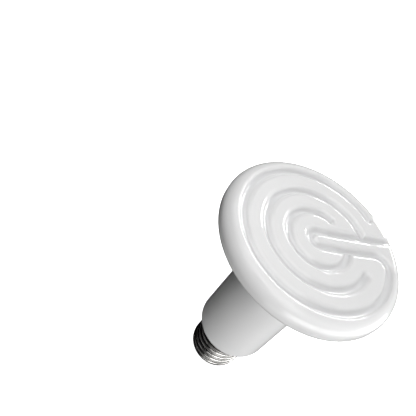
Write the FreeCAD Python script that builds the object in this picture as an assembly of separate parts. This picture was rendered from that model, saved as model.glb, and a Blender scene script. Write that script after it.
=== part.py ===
import FreeCAD, Part
import math
import os

# A ceramic heat emitter: a cast disc with a maze of grooves on its face, a hollow neck
# and an Edison screw cap. Lengths are in millimetres and angles in degrees. +Z runs from
# the cap to the face, and the origin is the tip of the centre contact.

os.makedirs("parts", exist_ok=True)

# Ceramic body, outside
OVERALL_LENGTH = 104.4
DISC_RADIUS = 37.5
RIM_THICKNESS = 8.2
FACE_EDGE_RADIUS = 4.9
DISH_DEPTH = 1.9
BACK_EDGE_RADIUS = 2.25
BACK_SLOPE = 12.0
NECK_TOP_RADIUS = 16.5
NECK_FOOT_RADIUS = 17.3
NECK_FILLET = 9.0
SHOULDER_RADIUS = 2.6

# Ceramic body, inside and at the spigot that the cap is cemented to
SLAB_THICKNESS = 12.0
NECK_WALL = 4.9
BORE_END_RADIUS = 5.0
BORE_STEP_LENGTH = 7.0
SPIGOT_LENGTH = 13.5
SPIGOT_WALL = 3.0
SPIGOT_EDGE_RADIUS = 0.8

# Grooves of the face. Angles are counted from the bar between the two straight grooves.
BAR_ANGLE = 40.0
BAR_TO_GROOVE = 3.5
GROOVE_DEPTH = 1.5
GROOVE_HALF_WIDTH = 3.1
GROOVE_FLOOR_RADIUS = 1.7
RIM_RIDGE_RADIUS = 1.0
RIM_MARGIN = 6.7
INNER_RING_RADIUS = 12.7
RETURN_BEND_RADIUS = 5.7
INNER_RING_START = 53.0
MIDDLE_RING_END = 320.0
OUTER_RING_END = 27.0
CUTTER_RISE = 1.0
BRIM_RISE = 0.02

# Screw cap
THREAD_CREST_RADIUS = 13.1
THREAD_DEPTH = 1.0
SHEET_THICKNESS = 0.3
SHELL_TOP = 27.25
SHELL_BOTTOM = 4.3
SHELL_CORNER_RADIUS = 2.5
SHELL_HOLE_RADIUS = 8.6
CEMENT_THICKNESS = 0.8

# Insulator and centre contact
INSULATOR_DISC_THICKNESS = 2.4
INSULATOR_LIP = 0.8
INSULATOR_END_RADIUS = 6.0
INSULATOR_CORNER_RADIUS = 0.6
CONTACT_RADIUS = 4.9
CONTACT_HEIGHT = 2.0
CONTACT_THICKNESS = 0.4
CONTACT_CORNER_RADIUS = 1.1
CONTACT_HOLE_RADIUS = 1.3
WELD_RECESS = 0.1
WELD_CORNER_RADIUS = 0.25

# Heating coil, cast in under the ridges of the face
COIL_RADIUS = 1.2
COIL_DEPTH = 6.0
COIL_BEND_RADIUS = 3.0
COIL_TAIL_BEND_RADIUS = 2.0

# Leads from the coil down to the cap
LEAD_RADIUS = 0.6
LEAD_SPACING = 9.0
LEAD_BEND_RADIUS = 1.5
SLEEVE_WALL = 0.8
SLEEVE_END_GAP = 2.0
CENTRE_LEAD_DROP = 4.0
SHELL_LEAD_LAP = 3.0

# Clearances
FIT = 0.05

# Heights and radii that follow from the sizes above. The heights whose names start with FACE_TO are
# those of the disc, with the rim's crown at zero. The disc is made there and then set on the neck.
FACE_TO_DISH = -DISH_DEPTH
FACE_TO_BACK = -RIM_THICKNESS
FACE_TO_BORE_END = -SLAB_THICKNESS
FACE_TO_COIL = -COIL_DEPTH
FACE_Z = OVERALL_LENGTH
BORE_END_Z = FACE_Z - SLAB_THICKNESS
SPIGOT_END_Z = SHELL_TOP - SPIGOT_LENGTH
SHELL_INNER_RADIUS = THREAD_CREST_RADIUS - THREAD_DEPTH - SHEET_THICKNESS
SPIGOT_RADIUS = SHELL_INNER_RADIUS - CEMENT_THICKNESS
SPIGOT_BORE_RADIUS = SPIGOT_RADIUS - SPIGOT_WALL
NECK_BORE_RADIUS = NECK_TOP_RADIUS - NECK_WALL
BORE_STEP_Z = SHELL_TOP + NECK_WALL
SHELL_FLOOR_Z = SHELL_BOTTOM + SHEET_THICKNESS
INSULATOR_TOP_Z = SHELL_FLOOR_Z + FIT + INSULATOR_DISC_THICKNESS
CROWN_RADIUS = DISC_RADIUS - FACE_EDGE_RADIUS
DISH_RADIUS = (CROWN_RADIUS ** 2 + DISH_DEPTH ** 2) / (2 * DISH_DEPTH) - FACE_EDGE_RADIUS
FACE_TO_BRIM = FACE_TO_DISH + GROOVE_HALF_WIDTH ** 2 / (2 * DISH_RADIUS) + BRIM_RISE
OUTER_RING_RADIUS = DISC_RADIUS - RIM_MARGIN
RING_PITCH = (OUTER_RING_RADIUS - INNER_RING_RADIUS) / 2
MIDDLE_RING_RADIUS = INNER_RING_RADIUS + RING_PITCH
LEAD_OFFSET = LEAD_SPACING / 2
LEAD_TOP_Z = FACE_Z - COIL_DEPTH - COIL_RADIUS
SLEEVE_INNER_RADIUS = LEAD_RADIUS + FIT
SLEEVE_OUTER_RADIUS = SLEEVE_INNER_RADIUS + SLEEVE_WALL

ORIGIN = FreeCAD.Vector(0, 0, 0)
Y_AXIS = FreeCAD.Vector(0, 1, 0)
Z_AXIS = FreeCAD.Vector(0, 0, 1)
DISH_CENTRE = FreeCAD.Vector(0, 0, FACE_TO_DISH + DISH_RADIUS)


def vec(x, z, y=0.0):
    return FreeCAD.Vector(x, y, z)


def rounded_edges(corners, closed):
    """Lines and arcs through (x, z, radius) corners in the XZ plane."""
    points = [vec(x, z) for x, z, _ in corners]
    count = len(corners)
    stops = []
    for i, (x, z, radius) in enumerate(corners):
        here = points[i]
        is_end = not closed and i in (0, count - 1)
        if radius == 0 or is_end:
            stops.append((here, None, here))
            continue
        back = (points[i - 1] - here).normalize()
        ahead = (points[(i + 1) % count] - here).normalize()
        half_angle = back.getAngle(ahead) / 2
        reach = radius / math.tan(half_angle)
        middle = (back + ahead).normalize()
        crown = here + middle * (radius / math.sin(half_angle) - radius)
        stops.append((here + back * reach, crown, here + ahead * reach))
    edges = []
    for i, (start, crown, end) in enumerate(stops):
        if crown is not None:
            edges.append(Part.Arc(start, crown, end).toShape())
        if i + 1 < count or closed:
            following = stops[(i + 1) % count][0]
            if end.distanceToPoint(following) > 1e-6:
                edges.append(Part.makeLine(end, following))
    return edges


def turned(corners):
    """Solid turned about the Z axis from a closed outline of (radius, z, corner radius)."""
    outline = Part.Wire(rounded_edges(corners, True))
    return Part.Face(outline).revolve(ORIGIN, Z_AXIS, 360)


def export(shape, node):
    shape.exportStep("parts/" + node + ".step")


def set_on_neck(shape):
    """Lifts a shape that was made with the face at height zero to its place."""
    shape.translate(vec(0, FACE_Z))
    return shape


def groove_side(side):
    """Edges of one side of the groove's section, from the middle of its floor up past its brim: a round
    floor that flares into a round brim. The side is 1 or -1."""
    both_radii = (GROOVE_HALF_WIDTH ** 2 + GROOVE_DEPTH ** 2) / (2 * GROOVE_DEPTH)
    brim_radius = both_radii - GROOVE_FLOOR_RADIUS
    wall = math.asin(GROOVE_HALF_WIDTH / both_radii)
    floor_centre = vec(0, FACE_TO_BRIM - GROOVE_DEPTH + GROOVE_FLOOR_RADIUS)
    brim_centre = vec(side * GROOVE_HALF_WIDTH, FACE_TO_BRIM - brim_radius)

    def on_floor(angle):
        return floor_centre + vec(side * math.sin(angle), -math.cos(angle)) * GROOVE_FLOOR_RADIUS

    def on_brim(angle):
        return brim_centre + vec(-side * math.sin(angle), math.cos(angle)) * brim_radius

    return [
        Part.Arc(on_floor(0), on_floor(wall / 2), on_floor(wall)).toShape(),
        Part.Arc(on_floor(wall), on_brim(wall / 2), on_brim(0)).toShape(),
        Part.makeLine(on_brim(0), vec(side * GROOVE_HALF_WIDTH, FACE_TO_BRIM + CUTTER_RISE)),
    ]


def groove_section():
    """Section of a groove's cutter in the XZ plane, at the lowest point of the dish."""
    top = FACE_TO_BRIM + CUTTER_RISE
    lid = Part.makeLine(vec(GROOVE_HALF_WIDTH, top), vec(-GROOVE_HALF_WIDTH, top))
    return Part.Face(Part.Wire(Part.__sortEdges__(groove_side(1) + groove_side(-1) + [lid])))


def groove_half_section():
    top = FACE_TO_BRIM + CUTTER_RISE
    lid = Part.makeLine(vec(GROOVE_HALF_WIDTH, top), vec(0, top))
    middle = Part.makeLine(vec(0, top), vec(0, FACE_TO_BRIM - GROOVE_DEPTH))
    return Part.Face(Part.Wire(Part.__sortEdges__(groove_side(1) + [lid, middle])))


def up_the_dish(shape, radius, angle):
    """Slides a shape from the lowest point of the dish out to a radius, at an angle about the axis."""
    shape.rotate(DISH_CENTRE, Y_AXIS, -math.degrees(math.asin(radius / DISH_RADIUS)))
    shape.rotate(ORIGIN, Z_AXIS, angle)
    return shape


def ring_groove(radius, start_angle, sweep):
    """Cutter along a ring, anticlockwise from its start angle."""
    return up_the_dish(groove_section(), radius, start_angle).revolve(ORIGIN, Z_AXIS, sweep)


def groove_end(radius, angle, anticlockwise):
    """Round end of a ring groove that stops at the angle, seen from the disc's middle."""
    cap = groove_half_section().revolve(ORIGIN, Z_AXIS, 180)
    if not anticlockwise:
        cap.rotate(ORIGIN, Z_AXIS, 180)
    return up_the_dish(cap, radius, angle)


def straight_groove(side, turn):
    """Cutter beside the bar, out along +X by a turn about the dish's centre."""
    return up_the_dish(groove_section(), BAR_TO_GROOVE, side * 90).revolve(DISH_CENTRE, -Y_AXIS, turn)


def return_bend():
    """Where the groove beside the bar turns into the outer ring: the bend's axis and the angle it starts
    from on the ring, with how far round it goes and how far out the straight groove runs, in degrees."""
    beside_bar = math.asin(BAR_TO_GROOVE / DISH_RADIUS)
    ring = math.asin(OUTER_RING_RADIUS / DISH_RADIUS)
    bend = math.asin(RETURN_BEND_RADIUS / DISH_RADIUS)
    ring_turn = -math.asin(math.sin(beside_bar + bend) / math.sin(ring - bend))

    def from_centre(fall, turn):
        return vec(math.sin(fall) * math.cos(turn), -math.cos(fall), math.sin(fall) * math.sin(turn))

    axis = from_centre(ring - bend, ring_turn)
    to_ring = from_centre(ring, ring_turn)
    straight_turn = math.atan2(axis.x, -axis.z)
    across = math.cos(beside_bar)
    to_straight = vec(
        across * math.sin(straight_turn), -across * math.cos(straight_turn), -math.sin(beside_bar)
    )
    sweep = to_ring.cross(axis).getAngle(to_straight.cross(axis))
    return axis, math.degrees(ring_turn), math.degrees(sweep), math.degrees(straight_turn)


def outer_ring():
    _, bend_angle, _, _ = return_bend()
    return ring_groove(OUTER_RING_RADIUS, OUTER_RING_END, 360 + bend_angle - OUTER_RING_END)


def bar_grooves():
    """Groove round the bar's tip, out through the rim on one side, into the outer ring on the other."""
    axis, bend_angle, sweep, straight_turn = return_bend()
    beyond_rim = math.asin((DISC_RADIUS + GROOVE_HALF_WIDTH) / DISH_RADIUS)
    bend_start = up_the_dish(groove_section(), OUTER_RING_RADIUS, bend_angle)
    return [
        straight_groove(1, math.degrees(beyond_rim)),
        ring_groove(BAR_TO_GROOVE, 90, 180),
        straight_groove(-1, straight_turn),
        bend_start.revolve(DISH_CENTRE, -axis, sweep),
    ]


def mouth_angle(radius):
    """Angle at which a ring opens into the straight groove beside the bar."""
    return math.degrees(math.asin(BAR_TO_GROOVE / radius))


def inner_groove():
    mouth = 360 - mouth_angle(INNER_RING_RADIUS)
    return [
        ring_groove(INNER_RING_RADIUS, INNER_RING_START, mouth - INNER_RING_START),
        groove_end(INNER_RING_RADIUS, INNER_RING_START, False),
    ]


def middle_groove():
    mouth = mouth_angle(MIDDLE_RING_RADIUS)
    return [
        ring_groove(MIDDLE_RING_RADIUS, mouth, MIDDLE_RING_END - mouth),
        groove_end(MIDDLE_RING_RADIUS, MIDDLE_RING_END, True),
    ]


def face_grooves():
    """Cutters of all grooves but the outer ring. The rings come before the grooves that they open into."""
    outer_end = groove_end(OUTER_RING_RADIUS, OUTER_RING_END, False)
    cutters = [outer_end] + inner_groove() + middle_groove() + bar_grooves()
    for cutter in cutters:
        cutter.rotate(ORIGIN, Z_AXIS, BAR_ANGLE)
    return cutters


def plan_arc(radius, start_angle, end_angle, centre):
    """Arc at the coil's height about a point of the plan, turning either way."""
    def place(angle):
        turn = math.radians(angle)
        return vec(centre[0] + radius * math.cos(turn), FACE_TO_COIL, centre[1] + radius * math.sin(turn))

    middle = (start_angle + end_angle) / 2
    return Part.Arc(place(start_angle), place(middle), place(end_angle)).toShape()


def tangent_bend(ring_radius, bend_radius, side):
    """Centre and angle of a bend between the bar's line and a ring, on the side with the sign of y."""
    y = side * bend_radius
    x = math.sqrt((ring_radius - bend_radius) ** 2 - bend_radius ** 2)
    return x, y, math.degrees(math.atan2(y, x))


def coil_wire(reach):
    """Coil's path: out under the bar, round the rim and back in under each ridge, turning round the
    closed end of each groove. Both ends run past the leads by the reach."""
    half_pitch = RING_PITCH / 2
    rim = OUTER_RING_RADIUS + half_pitch
    outer = OUTER_RING_RADIUS - half_pitch
    middle = MIDDLE_RING_RADIUS - half_pitch
    inner = INNER_RING_RADIUS - half_pitch
    start_x = LEAD_OFFSET - reach
    rim_x, rim_y, rim_angle = tangent_bend(rim, COIL_BEND_RADIUS, -1)
    tail_x, tail_y, tail_angle = tangent_bend(inner, COIL_TAIL_BEND_RADIUS, 1)

    def turn_round(ring_radius, angle, start, end):
        turn = math.radians(angle)
        centre = (ring_radius * math.cos(turn), ring_radius * math.sin(turn))
        return plan_arc(half_pitch, angle + start, angle + end, centre)

    edges = [
        Part.makeLine(vec(start_x, FACE_TO_COIL), vec(rim_x, FACE_TO_COIL)),
        plan_arc(COIL_BEND_RADIUS, 90, rim_angle, (rim_x, rim_y)),
        plan_arc(rim, rim_angle, OUTER_RING_END - 360, (0, 0)),
        turn_round(OUTER_RING_RADIUS, OUTER_RING_END, 0, -180),
        plan_arc(outer, OUTER_RING_END, MIDDLE_RING_END, (0, 0)),
        turn_round(MIDDLE_RING_RADIUS, MIDDLE_RING_END, 0, 180),
        plan_arc(middle, MIDDLE_RING_END, INNER_RING_START, (0, 0)),
        turn_round(INNER_RING_RADIUS, INNER_RING_START, 0, -180),
        plan_arc(inner, INNER_RING_START, 180 - tail_angle, (0, 0)),
        plan_arc(COIL_TAIL_BEND_RADIUS, 180 - tail_angle, 270, (-tail_x, tail_y)),
        Part.makeLine(vec(-tail_x, FACE_TO_COIL), vec(-start_x, FACE_TO_COIL)),
    ]
    return Part.Wire(edges)


def coil_rod(radius, reach):
    spine = coil_wire(reach)
    start = spine.Edges[0].firstVertex().Point
    circle = Part.makeCircle(radius, start, FreeCAD.Vector(1, 0, 0))
    rod = spine.makePipe(Part.Face(Part.Wire(circle)))
    rod.rotate(ORIGIN, Z_AXIS, BAR_ANGLE)
    return rod


def heating_coil():
    """Closely wound coil of resistance wire, as a rod of the winding's outer radius."""
    return set_on_neck(coil_rod(COIL_RADIUS, COIL_RADIUS))


def lead_passages():
    """Holes that the leads leave the slab through, from the coil's ends into the bore."""
    length = FACE_TO_COIL - FACE_TO_BORE_END + CUTTER_RISE
    holes = []
    for side in (-1, 1):
        foot = vec(side * LEAD_OFFSET, FACE_TO_BORE_END - CUTTER_RISE)
        hole = Part.makeCylinder(LEAD_RADIUS + FIT, length, foot, Z_AXIS)
        hole.rotate(ORIGIN, Z_AXIS, BAR_ANGLE)
        holes.append(hole)
    return holes


def dished_face():
    """Outline of the dished face and the rim's round edge, from the axis out to the rim's wall."""
    edge_centre = vec(CROWN_RADIUS, -FACE_EDGE_RADIUS)
    meeting = math.asin(CROWN_RADIUS / (DISH_RADIUS + FACE_EDGE_RADIUS))

    def on_dish(angle):
        return DISH_CENTRE + vec(math.sin(angle), -math.cos(angle)) * DISH_RADIUS

    def on_edge(angle):
        return edge_centre + vec(math.sin(angle), math.cos(angle)) * FACE_EDGE_RADIUS

    return [
        Part.Arc(on_dish(0), on_dish(meeting / 2), on_dish(meeting)).toShape(),
        Part.Arc(on_edge(-meeting), on_edge(math.pi / 4), on_edge(math.pi / 2)).toShape(),
    ]


def rim_ridge(body):
    """Edges of the ridge that the outer ring leaves against the rim's round edge."""
    edges = []
    for edge in body.Edges:
        middle = edge.valueAt((edge.FirstParameter + edge.LastParameter) / 2)
        if CROWN_RADIUS < math.hypot(middle.x, middle.y) < OUTER_RING_RADIUS + GROOVE_HALF_WIDTH:
            if middle.z > -GROOVE_DEPTH / 2 and edge.Length > DISC_RADIUS:
                edges.append(edge)
    return edges


def ceramic_body():
    back_fall = (DISC_RADIUS - NECK_TOP_RADIUS) * math.tan(math.radians(BACK_SLOPE))
    foot = SHELL_TOP - FACE_Z
    spigot_end = SPIGOT_END_Z - FACE_Z
    bore_step = BORE_STEP_Z - FACE_Z
    rest = rounded_edges([
        (DISC_RADIUS, -FACE_EDGE_RADIUS, 0),
        (DISC_RADIUS, FACE_TO_BACK, BACK_EDGE_RADIUS),
        (NECK_TOP_RADIUS, FACE_TO_BACK - back_fall, NECK_FILLET),
        (NECK_FOOT_RADIUS, foot, SHOULDER_RADIUS),
        (SPIGOT_RADIUS, foot, 0),
        (SPIGOT_RADIUS, spigot_end, SPIGOT_EDGE_RADIUS),
        (SPIGOT_BORE_RADIUS, spigot_end, SPIGOT_EDGE_RADIUS),
        (SPIGOT_BORE_RADIUS, bore_step, 0),
        (NECK_BORE_RADIUS, bore_step + BORE_STEP_LENGTH, 0),
        (NECK_BORE_RADIUS, FACE_TO_BORE_END, BORE_END_RADIUS),
        (0, FACE_TO_BORE_END, 0),
        (0, FACE_TO_DISH, 0),
    ], False)
    outline = Part.Wire(Part.__sortEdges__(dished_face() + rest))
    blank = Part.Face(outline).revolve(ORIGIN, Z_AXIS, 360)
    cavity = coil_rod(COIL_RADIUS + FIT, COIL_RADIUS + FIT)
    body = blank.cut(outer_ring())
    body = body.makeFillet(RIM_RIDGE_RADIUS, rim_ridge(body))
    body.rotate(ORIGIN, Z_AXIS, BAR_ANGLE)
    for cutter in face_grooves() + [cavity] + lead_passages():
        body = body.cut(cutter)
    return set_on_neck(body)


def cap_cement():
    inner = SPIGOT_RADIUS + FIT
    outer = SHELL_INNER_RADIUS - FIT
    return turned([
        (inner, SHELL_TOP - FIT, 0),
        (outer, SHELL_TOP - FIT, 0),
        (outer, SPIGOT_END_Z, 0),
        (inner, SPIGOT_END_Z, 0),
    ])


def screw_shell():
    """Shell as thick as its rolled thread, from the inside of the roots to the crests."""
    inner_corner = SHELL_CORNER_RADIUS - SHEET_THICKNESS
    return turned([
        (THREAD_CREST_RADIUS, SHELL_TOP - FIT, SHEET_THICKNESS),
        (THREAD_CREST_RADIUS, SHELL_BOTTOM, SHELL_CORNER_RADIUS),
        (SHELL_HOLE_RADIUS, SHELL_BOTTOM, 0),
        (SHELL_HOLE_RADIUS, SHELL_FLOOR_Z, 0),
        (SHELL_INNER_RADIUS, SHELL_FLOOR_Z, inner_corner),
        (SHELL_INNER_RADIUS, SHELL_TOP - FIT, 0),
    ])


def cap_insulator():
    """Glass plug that grips the edge of the shell's hole and carries the centre contact."""
    disc_radius = SHELL_INNER_RADIUS - SHELL_CORNER_RADIUS / 2
    boss_radius = CONTACT_RADIUS - CONTACT_THICKNESS - FIT
    boss_end = CONTACT_THICKNESS + FIT
    ledge = CONTACT_HEIGHT + FIT
    bore = LEAD_RADIUS + FIT
    return turned([
        (bore, INSULATOR_TOP_Z, 0),
        (disc_radius, INSULATOR_TOP_Z, INSULATOR_CORNER_RADIUS),
        (disc_radius, SHELL_FLOOR_Z + FIT, INSULATOR_CORNER_RADIUS),
        (SHELL_HOLE_RADIUS - FIT, SHELL_FLOOR_Z + FIT, 0),
        (SHELL_HOLE_RADIUS - FIT, SHELL_BOTTOM - FIT, 0),
        (SHELL_HOLE_RADIUS + INSULATOR_LIP, SHELL_BOTTOM - FIT, 0),
        (INSULATOR_END_RADIUS, ledge, INSULATOR_CORNER_RADIUS),
        (boss_radius, ledge, 0),
        (boss_radius, boss_end, INSULATOR_CORNER_RADIUS),
        (bore, boss_end, 0),
    ])


def centre_contact():
    """Pressed cup with a flat land, pierced in the middle for the lead's weld."""
    inside = CONTACT_RADIUS - CONTACT_THICKNESS
    inner_corner = CONTACT_CORNER_RADIUS - CONTACT_THICKNESS
    return turned([
        (CONTACT_HOLE_RADIUS, 0, 0),
        (CONTACT_RADIUS, 0, CONTACT_CORNER_RADIUS),
        (CONTACT_RADIUS, CONTACT_HEIGHT, 0),
        (inside, CONTACT_HEIGHT, 0),
        (inside, CONTACT_THICKNESS, inner_corner),
        (CONTACT_HOLE_RADIUS, CONTACT_THICKNESS, 0),
    ])


def contact_weld():
    """Bead that fills the contact's hole under the end of the lead."""
    radius = CONTACT_HOLE_RADIUS - FIT
    return turned([
        (0, CONTACT_THICKNESS, 0),
        (0, WELD_RECESS, 0),
        (radius, WELD_RECESS, WELD_CORNER_RADIUS),
        (radius, CONTACT_THICKNESS, 0),
    ])


def bent_lead(corners):
    """Round wire along (x, z, bend radius) corners in the plane through the bar's line."""
    spine = Part.Wire(rounded_edges(corners, False))
    circle = Part.makeCircle(LEAD_RADIUS, vec(corners[0][0], corners[0][1]), Z_AXIS)
    lead = spine.makePipe(Part.Face(Part.Wire(circle)))
    lead.rotate(ORIGIN, Z_AXIS, BAR_ANGLE)
    return lead


def centre_lead():
    turn_z = SPIGOT_END_Z
    return bent_lead([
        (-LEAD_OFFSET, LEAD_TOP_Z, 0),
        (-LEAD_OFFSET, turn_z, LEAD_BEND_RADIUS),
        (0, turn_z - CENTRE_LEAD_DROP, LEAD_BEND_RADIUS),
        (0, CONTACT_THICKNESS + FIT, 0),
    ])


def shell_lead():
    """Lead that leaves the spigot, crosses to the shell and lies down its wall, where it is welded."""
    wall_x = SHELL_INNER_RADIUS - FIT - LEAD_RADIUS
    end_z = INSULATOR_TOP_Z + LEAD_RADIUS
    turn_z = end_z + SHELL_LEAD_LAP
    return bent_lead([
        (LEAD_OFFSET, LEAD_TOP_Z, 0),
        (LEAD_OFFSET, turn_z, LEAD_BEND_RADIUS),
        (wall_x, turn_z, LEAD_BEND_RADIUS),
        (wall_x, end_z, 0),
    ])


def lead_sleeve(side):
    """Insulating tube on the straight run of a lead, on the side with the sign of x."""
    bottom = SPIGOT_END_Z + SLEEVE_END_GAP
    length = BORE_END_Z - SLEEVE_END_GAP - bottom
    foot = vec(side * LEAD_OFFSET, bottom)
    tube = Part.makeCylinder(SLEEVE_OUTER_RADIUS, length, foot, Z_AXIS)
    sleeve = tube.cut(Part.makeCylinder(SLEEVE_INNER_RADIUS, length, foot, Z_AXIS))
    sleeve.rotate(ORIGIN, Z_AXIS, BAR_ANGLE)
    return sleeve


export(ceramic_body(), "ceramic_body")
export(cap_cement(), "cap_cement")
export(screw_shell(), "screw_shell")
export(cap_insulator(), "cap_insulator")
export(centre_contact(), "centre_contact")
export(contact_weld(), "contact_weld")
export(heating_coil(), "heating_coil")
export(centre_lead(), "centre_lead")
export(shell_lead(), "shell_lead")
export(lead_sleeve(-1), "centre_lead_sleeve")
export(lead_sleeve(1), "shell_lead_sleeve")
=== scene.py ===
"""Looks of a ceramic heat emitter: its glaze, its rolled screw shell and the parts inside.

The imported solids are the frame. All places are in metres, with +Z from the screw cap to
the grooved face and the origin at the tip of the centre contact.
"""

import math

import bmesh
import bpy
from mathutils import Matrix, Vector


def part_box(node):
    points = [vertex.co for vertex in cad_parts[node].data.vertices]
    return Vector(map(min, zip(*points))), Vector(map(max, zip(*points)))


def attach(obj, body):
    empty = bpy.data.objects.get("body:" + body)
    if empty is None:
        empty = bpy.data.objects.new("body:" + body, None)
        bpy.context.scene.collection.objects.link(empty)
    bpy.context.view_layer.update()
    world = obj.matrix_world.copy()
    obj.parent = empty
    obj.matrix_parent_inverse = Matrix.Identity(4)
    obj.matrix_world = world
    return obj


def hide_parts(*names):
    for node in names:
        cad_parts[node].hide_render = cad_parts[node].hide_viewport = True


bl_info = {
    "name": "Ceramic Heat Emitter",
    "version": (1, 0, 0),
    "blender": (4, 5, 0),
    "location": "3D View > Sidebar > Heat Emitter",
    "description": "Finishes a ceramic heat emitter and sets it in a studio",
    "category": "Object",
}

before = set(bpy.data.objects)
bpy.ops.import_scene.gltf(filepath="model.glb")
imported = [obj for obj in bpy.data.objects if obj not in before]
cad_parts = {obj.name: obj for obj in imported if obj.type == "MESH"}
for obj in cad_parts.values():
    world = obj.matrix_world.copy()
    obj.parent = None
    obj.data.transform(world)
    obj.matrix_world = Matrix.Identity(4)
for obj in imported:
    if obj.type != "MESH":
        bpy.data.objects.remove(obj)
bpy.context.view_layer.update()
BODY = "root"
MM = 0.001
FULL_TURN = 2 * math.pi
LAMP_AIM_Z = 70 * MM

# Places on the solids that the new pieces and the finishes keep to
FACE_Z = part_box("ceramic_body")[1].z
DISC_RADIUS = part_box("ceramic_body")[1].x
SHELL_BOTTOM_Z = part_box("screw_shell")[0].z
SHELL_TOP_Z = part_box("screw_shell")[1].z
CREST_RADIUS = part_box("screw_shell")[1].x

# Form of the face that the glaze follows, with the sizes of the ceramic body
DISH_DEPTH = 1.9 * MM
GROOVE_DEPTH = 1.5 * MM
FACE_EDGE_RADIUS = 4.9 * MM
CROWN_RADIUS = DISC_RADIUS - FACE_EDGE_RADIUS


# Settings that a user can change


class ScrewShellSettings(bpy.types.PropertyGroup):
    pitch: bpy.props.FloatProperty(
        name="Pitch",
        description="Rise of the rolled thread in one turn",
        default=3.629 * MM,
        min=1 * MM,
        unit="LENGTH",
    )
    depth: bpy.props.FloatProperty(
        name="Depth",
        description="Height of the thread from root to crest",
        default=1.0 * MM,
        min=0.1 * MM,
        unit="LENGTH",
    )
    sheet: bpy.props.FloatProperty(
        name="Sheet",
        description="Thickness of the plated sheet",
        default=0.3 * MM,
        min=0.05 * MM,
        unit="LENGTH",
    )
    hole_radius: bpy.props.FloatProperty(
        name="Hole Radius",
        description="Radius of the hole in the shell's floor, which the glass fills",
        default=8.6 * MM,
        min=1 * MM,
        unit="LENGTH",
    )
    corner_radius: bpy.props.FloatProperty(
        name="Corner Radius",
        description="Radius of the bend between wall and floor",
        default=2.5 * MM,
        min=0.5 * MM,
        unit="LENGTH",
    )
    first_root: bpy.props.FloatProperty(
        name="First Root",
        description="Height of the topmost root on the near side",
        default=19.4 * MM,
        unit="LENGTH",
    )
    thread_top: bpy.props.FloatProperty(
        name="Thread Top",
        description="Height at which the thread has run out into the collar",
        default=21.2 * MM,
        unit="LENGTH",
    )
    thread_bottom: bpy.props.FloatProperty(
        name="Thread Bottom",
        description="Height at which the thread has run out into the end ring",
        default=6.9 * MM,
        unit="LENGTH",
    )
    run_out: bpy.props.FloatProperty(
        name="Run-out",
        description="Height over which the thread grows to its full depth at each end",
        default=1.5 * MM,
        min=0.1 * MM,
        unit="LENGTH",
    )
    steps: bpy.props.IntProperty(
        name="Steps",
        description="Divisions of one turn",
        default=144,
        min=32,
        max=256,
    )


class FinishSettings(bpy.types.PropertyGroup):
    glaze: bpy.props.FloatVectorProperty(
        name="Glaze",
        description="White of the glazed ceramic",
        default=(0.84, 0.84, 0.84),
        min=0,
        max=1,
        subtype="COLOR",
    )
    # Painted shade: a darker, cooler white painted on the groove floors in place of their shading
    groove_shade_white: bpy.props.FloatVectorProperty(
        name="Groove Shade",
        description="Painted shade on the groove floors, a darker and cooler white",
        default=(0.75, 0.752, 0.757),
        min=0,
        max=1,
        subtype="COLOR",
    )
    bisque: bpy.props.FloatVectorProperty(
        name="Bisque",
        description="Bare fired ceramic inside the neck and on the spigot",
        default=(0.74, 0.71, 0.65),
        min=0,
        max=1,
        subtype="COLOR",
    )
    plate: bpy.props.FloatVectorProperty(
        name="Plate",
        description="Nickel plate of the screw shell",
        default=(0.69, 0.68, 0.66),
        min=0,
        max=1,
        subtype="COLOR",
    )
    glass: bpy.props.FloatVectorProperty(
        name="Glass",
        description="Black glass of the cap insulator",
        default=(0.012, 0.011, 0.013),
        min=0,
        max=1,
        subtype="COLOR",
    )


class StudioSettings(bpy.types.PropertyGroup):
    floor_size: bpy.props.FloatProperty(
        name="Floor",
        description="Width of the pale floor",
        default=6.0,
        min=1,
        unit="LENGTH",
    )
    lamp_size: bpy.props.FloatProperty(
        name="Lamp Size",
        description="Factor on the size of all the lamps",
        default=1.0,
        min=0.1,
        subtype="FACTOR",
    )
    lamp_distance: bpy.props.FloatProperty(
        name="Lamp Distance",
        description="Distance of each soft lamp from the object",
        default=1.0,
        min=0.3,
        unit="LENGTH",
    )
    brightness: bpy.props.FloatProperty(
        name="Brightness",
        description="Factor on the power of all the lamps",
        default=1.0,
        min=0,
        subtype="FACTOR",
    )


# Shader building


class Signal:
    """A value or colour socket of a shader tree. Sums and products of signals add Math nodes."""

    def __init__(self, finish, socket):
        self.finish = finish
        self.socket = socket

    def maths(self, operation, first, second=None, clamp=False):
        values = {0: first} if second is None else {0: first, 1: second}
        settings = {"operation": operation, "use_clamp": clamp}
        return self.finish.add("ShaderNodeMath", settings, values, "Value")

    def __add__(self, other):
        return self.maths("ADD", self, other)

    def __radd__(self, other):
        return self.maths("ADD", other, self)

    def __sub__(self, other):
        return self.maths("SUBTRACT", self, other)

    def __rsub__(self, other):
        return self.maths("SUBTRACT", other, self)

    def __mul__(self, other):
        return self.maths("MULTIPLY", self, other)

    def __pow__(self, other):
        return self.maths("POWER", self, other)

    def clamped(self):
        return self.maths("ADD", self, 0.0, clamp=True)

    def below(self, limit):
        return self.maths("LESS_THAN", self, limit)

    def above(self, limit):
        return self.maths("GREATER_THAN", self, limit)


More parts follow.
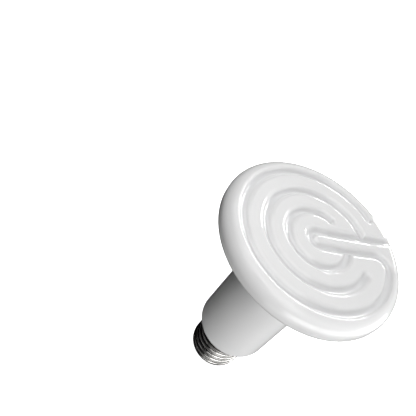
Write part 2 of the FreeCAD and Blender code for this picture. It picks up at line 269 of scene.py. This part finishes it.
class Finish:
    """A material with a Principled shader, and the nodes that feed it."""

    def __init__(self, name, **constants):
        self.material = bpy.data.materials.new(name)
        self.material.use_nodes = True
        self.tree = self.material.node_tree
        self.shader = self.tree.nodes["Principled BSDF"]
        for socket, value in constants.items():
            self.shader.inputs[socket.replace("_", " ")].default_value = value
        self.place = self.add("ShaderNodeTexCoord", {}, {}, "Object")
        parts = self.add("ShaderNodeSeparateXYZ", {}, {"Vector": self.place}).outputs
        self.x, self.y, self.z = (Signal(self, parts[axis]) for axis in "XYZ")
        self.radius = (self.x * self.x + self.y * self.y) ** 0.5

    def add(self, kind, settings, inputs, output=None):
        """Adds a node. Returns the named output as a signal, or the node itself."""
        node = self.tree.nodes.new(kind)
        for setting, value in settings.items():
            setattr(node, setting, value)
        for name, value in inputs.items():
            self.feed(node.inputs[name], value)
        return node if output is None else Signal(self, node.outputs[output])

    def feed(self, socket, value):
        if isinstance(value, Signal):
            self.tree.links.new(value.socket, socket)
        else:
            socket.default_value = value

    def ramp(self, value, low, high, at_low=0.0, at_high=1.0):
        """Smooth step from one result to another as the value goes from low to high."""
        settings = {"interpolation_type": "SMOOTHSTEP"}
        inputs = {
            "Value": value,
            "From Min": low,
            "From Max": high,
            "To Min": at_low,
            "To Max": at_high,
        }
        return self.add("ShaderNodeMapRange", settings, inputs, "Result")

    def stretched(self, x, y, z):
        """Place on the piece, scaled along each axis."""
        inputs = {"Vector": self.place, "Scale": (x, y, z)}
        return self.add("ShaderNodeMapping", {"vector_type": "POINT"}, inputs, "Vector")

    def around(self, turn_scale, height_scale):
        """Coordinates that run round the axis and up it, joined without a seam."""
        ring = self.add("ShaderNodeVectorMath", {"operation": "NORMALIZE"}, {0: self.flat_place()}, "Vector")
        parts = self.add("ShaderNodeSeparateXYZ", {}, {"Vector": ring}).outputs
        turn_x, turn_y = Signal(self, parts["X"]), Signal(self, parts["Y"])
        inputs = {"X": turn_x * turn_scale, "Y": turn_y * turn_scale, "Z": self.z * height_scale}
        return self.add("ShaderNodeCombineXYZ", {}, inputs, "Vector")

    def flat_place(self):
        return self.add("ShaderNodeCombineXYZ", {}, {"X": self.x, "Y": self.y, "Z": 0.0}, "Vector")

    def noise(self, size, detail=2.0, place=None, roughness=0.5):
        """Noise from 0 to 1 with features of about the given size in metres."""
        inputs = {
            "Vector": self.place if place is None else place,
            "Scale": 1 / size,
            "Detail": detail,
            "Roughness": roughness,
        }
        return self.add("ShaderNodeTexNoise", {}, inputs, "Fac")

    def blend(self, amount, first, second):
        """Colour that goes from the first to the second."""
        settings = {"data_type": "RGBA", "blend_type": "MIX"}
        node = self.add("ShaderNodeMix", settings, {0: amount})
        for socket, colour in ((node.inputs[6], first), (node.inputs[7], second)):
            self.feed(socket, colour if isinstance(colour, Signal) else (*colour, 1.0))
        return Signal(self, node.outputs[2])

    def colour(self, value):
        self.feed(self.shader.inputs["Base Color"], value)

    def roughness(self, value):
        self.feed(self.shader.inputs["Roughness"], value)

    def relief(self, height, depth):
        """Bumps of the given depth in metres, where height goes from 0 to 1."""
        inputs = {"Strength": 1.0, "Distance": depth, "Height": height}
        bump = self.add("ShaderNodeBump", {}, inputs, "Normal")
        self.feed(self.shader.inputs["Normal"], bump)


def shaded(colour, factor):
    """A colour made lighter or darker by a plain factor."""
    return tuple(min(1.0, channel * factor) for channel in colour)


# Finishes


def white_glaze(finishes):
    """Glaze over the casting, with painted shade on the groove floors. The bore and the spigot are bare
    clay.
    """
    finish = Finish("white glaze", IOR=1.52)
    bore_radius = 13 * MM
    face_radius = CROWN_RADIUS + 1 * MM
    below_grooves = GROOVE_DEPTH * 2
    dish = FACE_Z - DISH_DEPTH + finish.radius ** 2 * (DISH_DEPTH / CROWN_RADIUS**2)
    under_dish = dish - finish.z
    on_face = finish.radius.below(face_radius)
    sunk = finish.ramp(under_dish, GROOVE_DEPTH * 0.25, GROOVE_DEPTH)
    # Painted shade: the groove floors below the dish are painted a darker, cooler white
    painted_groove_shade = on_face * sunk * under_dish.below(below_grooves)
    in_bore = finish.radius.below(bore_radius) * under_dish.above(below_grooves)
    on_spigot = finish.z.below(SHELL_TOP_Z)
    bare = (in_bore + on_spigot).clamped()
    clouds = finish.noise(18 * MM, 3.0)
    glaze = finish.blend(painted_groove_shade, finishes.glaze, finishes.groove_shade_white)
    glaze = finish.blend((clouds - 0.5) * 0.3, glaze, shaded(finishes.glaze, 0.9))
    specks = finish.ramp(finish.noise(0.7 * MM, 1.0), 0.76, 0.82)
    glaze = finish.blend(specks * 0.25, glaze, shaded(finishes.glaze, 0.8))
    grain = finish.noise(0.35 * MM, 4.0)
    clay = finish.blend(grain, finishes.bisque, shaded(finishes.bisque, 0.82))
    finish.colour(finish.blend(bare, glaze, clay))
    sheen = 0.16 + (finish.noise(6 * MM, 3.0) - 0.5) * 0.1
    finish.roughness(sheen + bare * 0.65)
    waves = finish.noise(7 * MM, 1.0) * 0.6 + finish.noise(1.6 * MM, 1.0) * 0.1
    finish.relief(waves * (1 - bare) + grain * bare * 0.3, 0.12 * MM)
    return finish.material


def nickel_plate(finishes, depth):
    """Plate with fine lines round the shell, with painted shade and some stains in the roots of a thread of
    the given depth.
    """
    finish = Finish("nickel plate", Metallic=1.0)
    drawn = finish.noise(1.0, 3.0, finish.around(turn_scale=3.0, height_scale=2500))
    stains = finish.noise(4 * MM, 3.0)
    root_radius = CREST_RADIUS - depth
    flank_radius = CREST_RADIUS - depth * 0.3
    # Painted shade in the thread's roots, mixed with real stains, darkens the plate; the same mask also
    # roughens it
    root = finish.ramp(finish.radius, root_radius, flank_radius, 1.0, 0.0)
    root_shade_and_stains = (root * 0.85 + finish.ramp(stains, 0.5, 0.8) * 0.2).clamped()
    plate = finish.blend(root_shade_and_stains, finishes.plate, shaded(finishes.plate, 0.32))
    finish.colour(finish.blend(drawn * 0.35, plate, shaded(finishes.plate, 0.75)))
    finish.roughness(0.18 + drawn * 0.06 + root_shade_and_stains * 0.2)
    finish.relief(drawn * 0.2 + finish.noise(2.5 * MM, 1.0) * 0.8, 0.006 * MM)
    return finish.material


def black_glass(finishes):
    finish = Finish("black glass", IOR=1.52)
    flow = finish.noise(2.2 * MM, 3.0)
    pits = finish.ramp(finish.noise(0.5 * MM, 1.0), 0.68, 0.78)
    finish.colour(finish.blend(flow, finishes.glass, shaded(finishes.glass, 2.2)))
    finish.roughness(0.1 + flow * 0.12 + pits * 0.3)
    finish.relief(flow * 0.8 - pits * 0.4, 0.15 * MM)
    return finish.material


def contact_brass():
    finish = Finish("contact brass", Metallic=1.0)
    turned = finish.noise(1.0, 3.0, finish.stretched(2600, 2600, 300))
    land_inside, land_outside = 1.2 * MM, 4.2 * MM
    worn = finish.ramp(finish.radius, land_inside, land_outside, 1.0, 0.0)
    brass = finish.blend(turned, (0.78, 0.7, 0.52), (0.62, 0.55, 0.4))
    finish.colour(finish.blend(worn * 0.5, brass, (0.8, 0.77, 0.7)))
    finish.roughness(0.28 + turned * 0.18)
    finish.relief(turned, 0.02 * MM)
    return finish.material


def weld_metal():
    finish = Finish("weld metal", Metallic=1.0)
    grain = finish.noise(0.4 * MM, 4.0)
    finish.colour(finish.blend(grain, (0.62, 0.61, 0.59), (0.36, 0.35, 0.34)))
    finish.roughness(0.35 + grain * 0.25)
    finish.relief(grain, 0.05 * MM)
    return finish.material


def cap_cement():
    finish = Finish("cap cement", IOR=1.45)
    grain = finish.noise(0.5 * MM, 5.0, roughness=0.7)
    patches = finish.noise(4 * MM, 2.0)
    stone = finish.blend(grain, (0.68, 0.66, 0.61), (0.46, 0.44, 0.4))
    finish.colour(finish.blend(patches * 0.4, stone, (0.55, 0.53, 0.49)))
    finish.roughness(0.88 + grain * 0.1)
    finish.relief(grain, 0.1 * MM)
    return finish.material


def resistance_wire():
    finish = Finish("resistance wire", Metallic=0.9)
    scale = finish.noise(0.6 * MM, 4.0)
    finish.colour(finish.blend(scale, (0.36, 0.33, 0.31), (0.16, 0.15, 0.15)))
    finish.roughness(0.5 + scale * 0.3)
    finish.relief(scale, 0.06 * MM)
    return finish.material


def lead_nickel():
    finish = Finish("lead nickel", Metallic=1.0)
    drawn = finish.noise(1.0, 3.0, finish.stretched(5000, 5000, 120))
    finish.colour(finish.blend(drawn, (0.6, 0.58, 0.54), (0.42, 0.4, 0.37)))
    finish.roughness(0.3 + drawn * 0.2)
    finish.relief(drawn, 0.01 * MM)
    return finish.material


def sleeve_ceramic():
    finish = Finish("sleeve ceramic", IOR=1.5)
    grain = finish.noise(0.4 * MM, 4.0)
    rings = finish.noise(1.0, 2.0, finish.stretched(60, 60, 900))
    clay = finish.blend(grain, (0.84, 0.81, 0.74), (0.74, 0.7, 0.62))
    finish.colour(finish.blend(rings * 0.4, clay, (0.7, 0.66, 0.58)))
    finish.roughness(0.72 + grain * 0.15)
    finish.relief(grain * 0.5 + rings * 0.5, 0.03 * MM)
    return finish.material


def dress(node, material):
    """Gives a carried-over solid its finish."""
    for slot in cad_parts[node].material_slots:
        slot.material = material


# The rolled screw shell


def arc_corners(radius, height, bend, start, end, count):
    """Points on a bend about a centre at the radius and height, as (radius, height)."""
    points = []
    for step in range(count + 1):
        angle = start + (end - start) * step / count
        points.append((radius + bend * math.cos(angle), height + bend * math.sin(angle)))
    return points


def shell_outline(shell):
    """Outside of the shell before its thread is rolled, from the floor's hole to the collar's lip."""
    bend_steps = 8
    lip_steps = 4
    rows_in_a_turn = 22
    bend = shell.corner_radius
    lip = shell.sheet / 2
    threaded = shell.thread_top - shell.thread_bottom
    rows = round(threaded / shell.pitch * rows_in_a_turn)
    outline = [(shell.hole_radius, SHELL_BOTTOM_Z)]
    outline += arc_corners(CREST_RADIUS - bend, SHELL_BOTTOM_Z + bend, bend, -math.pi / 2, 0, bend_steps)
    for row in range(rows + 1):
        outline.append((CREST_RADIUS, shell.thread_bottom + threaded * row / rows))
    outline += arc_corners(CREST_RADIUS - lip, SHELL_TOP_Z - lip, lip, 0, math.pi / 2, lip_steps)
    return outline


def rolled_depth(shell, turn, height):
    """How far the thread lies under the crests at an angle round the axis and a height.

    Its section is a row of round roots and round crests of one radius that run into each other.
    """
    near_side = -math.pi / 2
    root = shell.first_root + shell.pitch * (turn - near_side) / FULL_TURN
    from_root = (height - root) / shell.pitch
    from_root = abs(from_root - round(from_root)) * shell.pitch
    half_pitch = shell.pitch / 2
    flank = 2 * math.atan(shell.depth / half_pitch)
    bend = half_pitch / (2 * math.sin(flank))
    if from_root < half_pitch / 2:
        sunk = shell.depth - bend + math.sqrt(bend**2 - from_root**2)
    else:
        sunk = bend - math.sqrt(bend**2 - (half_pitch - from_root) ** 2)
    to_end = min(height - shell.thread_bottom, shell.thread_top - height) / shell.run_out
    grown = max(0.0, min(1.0, to_end))
    return sunk * grown * grown * (3 - 2 * grown)


def screw_shell(shell):
    """Outside of the shell, turned, then pressed in where the thread is rolled. The sheet goes inwards."""
    merge_distance = 0.01 * MM
    mesh = bmesh.new()
    corners = [mesh.verts.new((radius, 0, height)) for radius, height in shell_outline(shell)]
    for lower, upper in zip(corners, corners[1:]):
        mesh.edges.new((lower, upper))
    bmesh.ops.spin(
        mesh,
        geom=mesh.verts[:] + mesh.edges[:],
        cent=(0, 0, 0),
        axis=(0, 0, 1),
        angle=FULL_TURN,
        steps=shell.steps,
        use_merge=True,
    )
    bmesh.ops.remove_doubles(mesh, verts=mesh.verts[:], dist=merge_distance)
    for corner in mesh.verts:
        sunk = rolled_depth(shell, math.atan2(corner.co.y, corner.co.x), corner.co.z)
        radius = math.hypot(corner.co.x, corner.co.y)
        corner.co.xy *= (radius - sunk) / radius
    bmesh.ops.recalc_face_normals(mesh, faces=mesh.faces[:])
    on_collar = next(face for face in mesh.faces if face.calc_center_median().z > shell.thread_top)
    outwards = Vector((*on_collar.calc_center_median().xy, 0))
    if on_collar.normal.dot(outwards) < 0:
        bmesh.ops.reverse_faces(mesh, faces=mesh.faces[:])
    for face in mesh.faces:
        face.smooth = True
    piece = new_piece("rolled_screw_shell", mesh)
    wall = piece.modifiers.new("Sheet", "SOLIDIFY")
    wall.thickness = shell.sheet
    wall.offset = -1.0
    wall.use_even_offset = True
    return piece


def new_piece(name, mesh):
    """Object at the origin that holds the finished mesh."""
    data = bpy.data.meshes.new(name)
    mesh.to_mesh(data)
    mesh.free()
    piece = bpy.data.objects.new(name, data)
    bpy.context.scene.collection.objects.link(piece)
    return piece


# The studio


def plain_material(name, colour, glow):
    """Matt stage material that glows by itself, so that it is evenly pale."""
    material = bpy.data.materials.new(name)
    material.use_nodes = True
    shader = material.node_tree.nodes["Principled BSDF"]
    shader.inputs["Base Color"].default_value = (*colour, 1.0)
    shader.inputs["Roughness"].default_value = 1.0
    shader.inputs["Specular IOR Level"].default_value = 0.0
    shader.inputs["Emission Color"].default_value = (1.0, 1.0, 1.0, 1.0)
    shader.inputs["Emission Strength"].default_value = glow
    return material


def stage_piece(name, mesh, material):
    """Piece of the stage that gives the object no light, no reflection and no shadow."""
    piece = new_piece(name, mesh)
    piece.data.materials.append(material)
    piece.visible_diffuse = False
    piece.visible_glossy = False
    piece.visible_shadow = False
    return piece


def pale_floor(studio):
    pale = (0.9, 0.9, 0.9)
    glow = 0.93
    mesh = bmesh.new()
    bmesh.ops.create_circle(mesh, cap_ends=True, segments=64, radius=studio.floor_size / 2)
    return stage_piece("floor", mesh, plain_material("pale floor", pale, glow))


def pale_backdrop(studio):
    """Wide dome round the floor, seen by the camera alone, so that every view has a pale background."""
    black = (0.0, 0.0, 0.0)
    glow = 1.0
    just_below_floor = -0.01
    mesh = bmesh.new()
    bmesh.ops.create_uvsphere(mesh, u_segments=64, v_segments=32, radius=studio.floor_size / 2)
    below = [corner for corner in mesh.verts if corner.co.z < just_below_floor]
    bmesh.ops.delete(mesh, geom=below, context="VERTS")
    bmesh.ops.reverse_faces(mesh, faces=mesh.faces[:])
    return stage_piece("backdrop", mesh, plain_material("pale backdrop", black, glow))


def soft_lamp(studio, name, azimuth, elevation, power, size=(0.6, 0.6)):
    """Soft box that looks at the middle of the object from a direction in degrees."""
    turn, rise = math.radians(azimuth), math.radians(elevation)
    towards = Vector((math.cos(rise) * math.cos(turn), math.cos(rise) * math.sin(turn), math.sin(rise)))
    lamp = bpy.data.lights.new(name, "AREA")
    lamp.shape = "RECTANGLE"
    lamp.size, lamp.size_y = (side * studio.lamp_size for side in size)
    lamp.energy = power * studio.brightness
    holder = bpy.data.objects.new(name, lamp)
    holder.location = Vector((0, 0, LAMP_AIM_Z)) + towards * studio.lamp_distance
    holder.rotation_euler = (-towards).to_track_quat("-Z", "Y").to_euler()
    bpy.context.scene.collection.objects.link(holder)


def soft_lamps(studio):
    """Soft boxes above and round the object, and a strip low behind the face that lights the brims."""
    soft_lamp(studio, "overhead lamp", 0, 90, 2.4)
    soft_lamp(studio, "high back lamp", 144, 58, 2.4)
    soft_lamp(studio, "high left lamp", -144, 58, 2.2)
    soft_lamp(studio, "high front lamp", -72, 58, 2.3)
    soft_lamp(studio, "low front lamp", -54, 0, 4.2)
    soft_lamp(studio, "low right lamp", -18, 0, 3.2)
    soft_lamp(studio, "right lamp", 18, 0, 5.5)
    soft_lamp(studio, "lamp from below", -72, -32, 1.6)
    soft_lamp(studio, "strip lamp", 80, 20, 4.6, size=(0.5, 0.08))


def dark_room():
    """World that gives no light of its own, so that the lamps alone shape the object."""
    world = bpy.data.worlds.new("studio room")
    world.use_nodes = True
    world.node_tree.nodes["Background"].inputs["Strength"].default_value = 0.0
    bpy.context.scene.world = world


def photograph_camera():
    """Camera at the photograph's viewpoint: it looks down across the face and is rolled.

    The object sits away from the middle of the photograph, so the frame is shifted off the
    lens's centre pixel. Distance, right and down give the aim's place as the camera sees it.
    """
    frame_pixels = 416
    sensor = 36.0
    focal_pixels = 415.06
    centre_pixel = Vector((276.39, 235.83))
    tilt = math.radians(47.57)
    roll = math.radians(40.905)
    aim = Vector((0, 0, 105 * MM))
    distance, right, down = 149.01 * MM, 16.9 * MM, -0.69 * MM
    turn = Matrix.Rotation(tilt, 4, "X") @ Matrix.Rotation(roll, 4, "Z")
    to_aim = turn @ Vector((right, -down, -distance))
    data = bpy.data.cameras.new("camera")
    data.sensor_width = sensor
    data.lens = sensor * focal_pixels / frame_pixels
    data.shift_x = (frame_pixels / 2 - centre_pixel.x) / frame_pixels
    data.shift_y = (centre_pixel.y - frame_pixels / 2) / frame_pixels
    data.clip_start = 0.01
    camera = bpy.data.objects.new("camera", data)
    camera.matrix_world = Matrix.Translation(aim - to_aim) @ turn
    bpy.context.scene.collection.objects.link(camera)
    bpy.context.scene.camera = camera


# Operators, one for each piece or group of pieces


class EMITTER_OT_ceramic(bpy.types.Operator):
    """Glaze the ceramic body"""

    bl_idname = "emitter.ceramic"
    bl_label = "Ceramic Body"

    def execute(self, context):
        dress("ceramic_body", white_glaze(context.scene.emitter_finishes))
        return {"FINISHED"}


class EMITTER_OT_screw_shell(bpy.types.Operator):
    """Roll the threaded screw shell and plate it"""

    bl_idname = "emitter.screw_shell"
    bl_label = "Screw Shell"

    def execute(self, context):
        shell = context.scene.emitter_screw_shell
        piece = screw_shell(shell)
        piece.data.materials.append(nickel_plate(context.scene.emitter_finishes, shell.depth))
        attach(piece, BODY)
        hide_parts("screw_shell")
        return {"FINISHED"}


class EMITTER_OT_cap_end(bpy.types.Operator):
    """Finish the black glass, the centre contact, its weld and the cement"""

    bl_idname = "emitter.cap_end"
    bl_label = "Cap End"

    def execute(self, context):
        dress("cap_insulator", black_glass(context.scene.emitter_finishes))
        dress("centre_contact", contact_brass())
        dress("contact_weld", weld_metal())
        dress("cap_cement", cap_cement())
        return {"FINISHED"}


class EMITTER_OT_heating(bpy.types.Operator):
    """Finish the heating coil, the leads and their sleeves"""

    bl_idname = "emitter.heating"
    bl_label = "Heating Parts"

    def execute(self, context):
        dress("heating_coil", resistance_wire())
        nickel = lead_nickel()
        sleeve = sleeve_ceramic()
        for side in ("centre", "shell"):
            dress(side + "_lead", nickel)
            dress(side + "_lead_sleeve", sleeve)
        return {"FINISHED"}


class EMITTER_OT_studio(bpy.types.Operator):
    """Set up the floor, the backdrop, the lights and the camera"""

    bl_idname = "emitter.studio"
    bl_label = "Studio"

    def execute(self, context):
        studio = context.scene.emitter_studio
        pale_floor(studio)
        pale_backdrop(studio)
        dark_room()
        soft_lamps(studio)
        photograph_camera()
        context.scene.view_settings.view_transform = "Standard"
        return {"FINISHED"}


class EMITTER_PT_sidebar(bpy.types.Panel):
    """Makers of the heat emitter's pieces and of its studio"""

    bl_idname = "EMITTER_PT_sidebar"
    bl_label = "Heat Emitter"
    bl_space_type = "VIEW_3D"
    bl_region_type = "UI"
    bl_category = "Heat Emitter"

    def draw(self, context):
        for operator in OPERATORS:
            self.layout.operator(operator.bl_idname)
        for group, kind in SETTINGS.items():
            settings = getattr(context.scene, group)
            for name in kind.__annotations__:
                self.layout.prop(settings, name)


SETTINGS = {
    "emitter_screw_shell": ScrewShellSettings,
    "emitter_finishes": FinishSettings,
    "emitter_studio": StudioSettings,
}
OPERATORS = (
    EMITTER_OT_ceramic,
    EMITTER_OT_screw_shell,
    EMITTER_OT_cap_end,
    EMITTER_OT_heating,
    EMITTER_OT_studio,
)


def register():
    for group, settings in SETTINGS.items():
        bpy.utils.register_class(settings)
        setattr(bpy.types.Scene, group, bpy.props.PointerProperty(type=settings))
    for operator in OPERATORS:
        bpy.utils.register_class(operator)
    bpy.utils.register_class(EMITTER_PT_sidebar)


def unregister():
    bpy.utils.unregister_class(EMITTER_PT_sidebar)
    for operator in reversed(OPERATORS):
        bpy.utils.unregister_class(operator)
    for group, settings in SETTINGS.items():
        delattr(bpy.types.Scene, group)
        bpy.utils.unregister_class(settings)


def main():
    register()
    bpy.ops.emitter.ceramic()
    bpy.ops.emitter.screw_shell()
    bpy.ops.emitter.cap_end()
    bpy.ops.emitter.heating()
    bpy.ops.emitter.studio()


if __name__ == "__main__":
    main()
